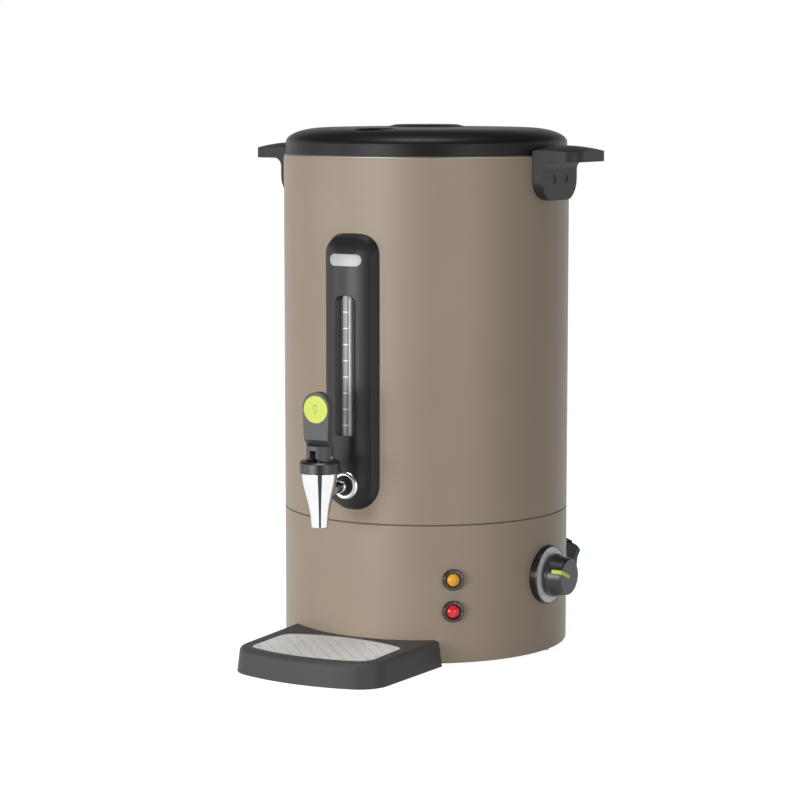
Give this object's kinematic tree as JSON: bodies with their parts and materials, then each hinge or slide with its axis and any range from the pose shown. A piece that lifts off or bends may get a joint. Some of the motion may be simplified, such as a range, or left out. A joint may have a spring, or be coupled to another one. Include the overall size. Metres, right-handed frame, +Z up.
{
  "type": "hot water urn",
  "caption": "Counter-top hot water urn: round painted casing, black lid and handles, lever tap with sight gauge, thermostat knob, pilot lamps, rocker switch and drip tray.",
  "frame": {"origin": "on the urn's vertical axis at the counter surface, at the centre of the rubber foot ring", "axes": "+Z up, the tap and drip tray face -Y, the thermostat is on the +X side"},
  "size_m": [0.36, 0.393, 0.5041],
  "materials": {
    "casing_paint": "satin taupe powder coat",
    "joint_plastic": "dark moulded plastic",
    "tank_steel": "drawn stainless steel, satin",
    "gasket_rubber": "grey silicone",
    "lid_plastic": "black moulded plastic, soft gloss",
    "zinc_plate": "zinc-plated sheet",
    "plated_screws": "plated steel",
    "foot_rubber": "black rubber",
    "heater_aluminium": "die-cast",
    "element_sheath": "annealed steel sheath",
    "control_plastic": "cream moulded plastic",
    "shaft_steel": "turned steel",
    "sensor_copper": "copper capillary and bulb",
    "bezel_plastic": "black moulded plastic",
    "dial_silver": "printed silver dial plate",
    "knob_plastic": "black moulded plastic",
    "lime_inlay": "yellow-green inlay",
    "reset_red": "red button",
    "wire_brown": "insulated wire",
    "amber_lens": "translucent amber lens",
    "red_lens": "translucent red lens",
    "switch_plastic": "black moulded plastic",
    "rocker_green": "translucent green rocker",
    "brass_parts": "turned brass",
    "gland_plastic": "black nylon",
    "handle_plastic": "dark grey moulded plastic, fine texture",
    "handle_screws": "plated steel",
    "cover_plastic": "black moulded plastic, satin",
    "badge_silver": "blank satin silver badge",
    "tube_clear": "clear sight tube",
    "scale_print": "grey scale strip with white marks",
    "seal_rubber": "black rubber",
    "tap_chrome": "bright chrome plate",
    "bonnet_plastic": "black moulded plastic",
    "cup_silicone": "white silicone",
    "spring_steel": "stainless spring wire",
    "pin_steel": "bright steel pin",
    "lever_plastic": "dark grey moulded plastic",
    "tray_plastic": "dark grey moulded plastic",
    "grid_steel": "perforated stainless sheet"
  },
  "bodies": {
    "urn": {"outer_casing": "casing_paint", "base_band": "casing_paint", "joint_ring": "joint_plastic", "water_tank": "tank_steel", "tank_rim_gasket": "gasket_rubber", "base_plate": "zinc_plate", "base_screws": "plated_screws", "foot_ring": "foot_rubber", "heater_plate": "heater_aluminium", "heating_element": "element_sheath", "heater_clamp": "zinc_plate", "heater_nut": "plated_screws", "thermostat_body": "control_plastic", "thermostat_screws": "plated_screws", "thermostat_sensor": "sensor_copper", "dial_bezel": "bezel_plastic", "dial_plate": "dial_silver", "boil_dry_cutout": "control_plastic", "terminal_block": "control_plastic", "wiring": "wire_brown", "lamp_bezels": "bezel_plastic", "amber_lens": "amber_lens", "red_lens": "red_lens", "switch_frame": "switch_plastic", "switch_terminals": "brass_parts", "cable_gland": "gland_plastic", "cable_gland_nut": "gland_plastic", "handle_left": "handle_plastic", "handle_right": "handle_plastic", "handle_screws": "handle_screws", "gauge_cover": "cover_plastic", "gauge_badge": "badge_silver", "sight_tube": "tube_clear", "sight_scale": "scale_print", "gauge_elbow": "brass_parts", "gauge_seals": "seal_rubber", "outlet_tee": "brass_parts", "outlet_nuts": "brass_parts", "tap_body": "tap_chrome", "tap_ring": "tap_chrome", "tap_washer": "seal_rubber", "tap_bonnet": "bonnet_plastic", "tap_spring": "spring_steel"},
    "lid": {"lid": "lid_plastic", "lid_liner": "tank_steel"},
    "knob": {"thermostat_shaft": "shaft_steel", "thermostat_knob": "knob_plastic", "knob_pointer": "lime_inlay"},
    "reset": {"reset_button": "reset_red"},
    "rocker": {"switch_rocker": "rocker_green"},
    "valve": {"tap_stem": "shaft_steel", "tap_seat_cup": "cup_silicone", "tap_pin": "pin_steel"},
    "lever": {"tap_lever": "lever_plastic", "lever_disc": "lime_inlay"},
    "tray": {"drip_tray": "tray_plastic"},
    "grid": {"drip_grid": "grid_steel"}
  },
  "joints": [
    {"name": "lid_lift", "type": "slide", "parent": "urn", "child": "lid", "axis": [0, 0, 1], "range_m": [0, 0.12]},
    {"name": "knob_turn", "type": "hinge", "parent": "urn", "child": "knob", "pos_m": [0.14979, -0.00785, 0.0768], "axis": [-0.9986, 0.0523, 0], "range_deg": [0, 270]},
    {"name": "rocker_tip", "type": "hinge", "parent": "urn", "child": "rocker", "pos_m": [0.10394, 0.10038, 0.0765], "axis": [-0.6947, 0.7193, 0], "range_deg": [0, 27]},
    {"name": "reset_push", "type": "slide", "parent": "urn", "child": "reset", "axis": [0, 0, 1], "range_m": [0, 0.002], "stiffness_N_per_m": 400},
    {"name": "valve_lift", "type": "slide", "parent": "urn", "child": "valve", "axis": [0, 0, 1], "range_m": [0, 0.005], "deforming": ["tap_spring"]},
    {"name": "lever_tilt", "type": "hinge", "parent": "valve", "child": "lever", "pos_m": [0, -0.195, 0.2034], "axis": [1, 0, 0], "range_deg": [0, 45], "stiffness_Nm_per_rad": 0.3},
    {"name": "tray_slide", "type": "slide", "parent": "urn", "child": "tray", "axis": [0, -1, 0], "range_m": [0, 0.12]},
    {"name": "grid_lift", "type": "slide", "parent": "tray", "child": "grid", "axis": [0, -0.0384, 0.9993], "range_m": [0, 0.06]}
  ],
  "couplings": [
    {"joint": "lever_tilt", "follows": "valve_lift", "rad_per_m": 157.08}
  ]
}
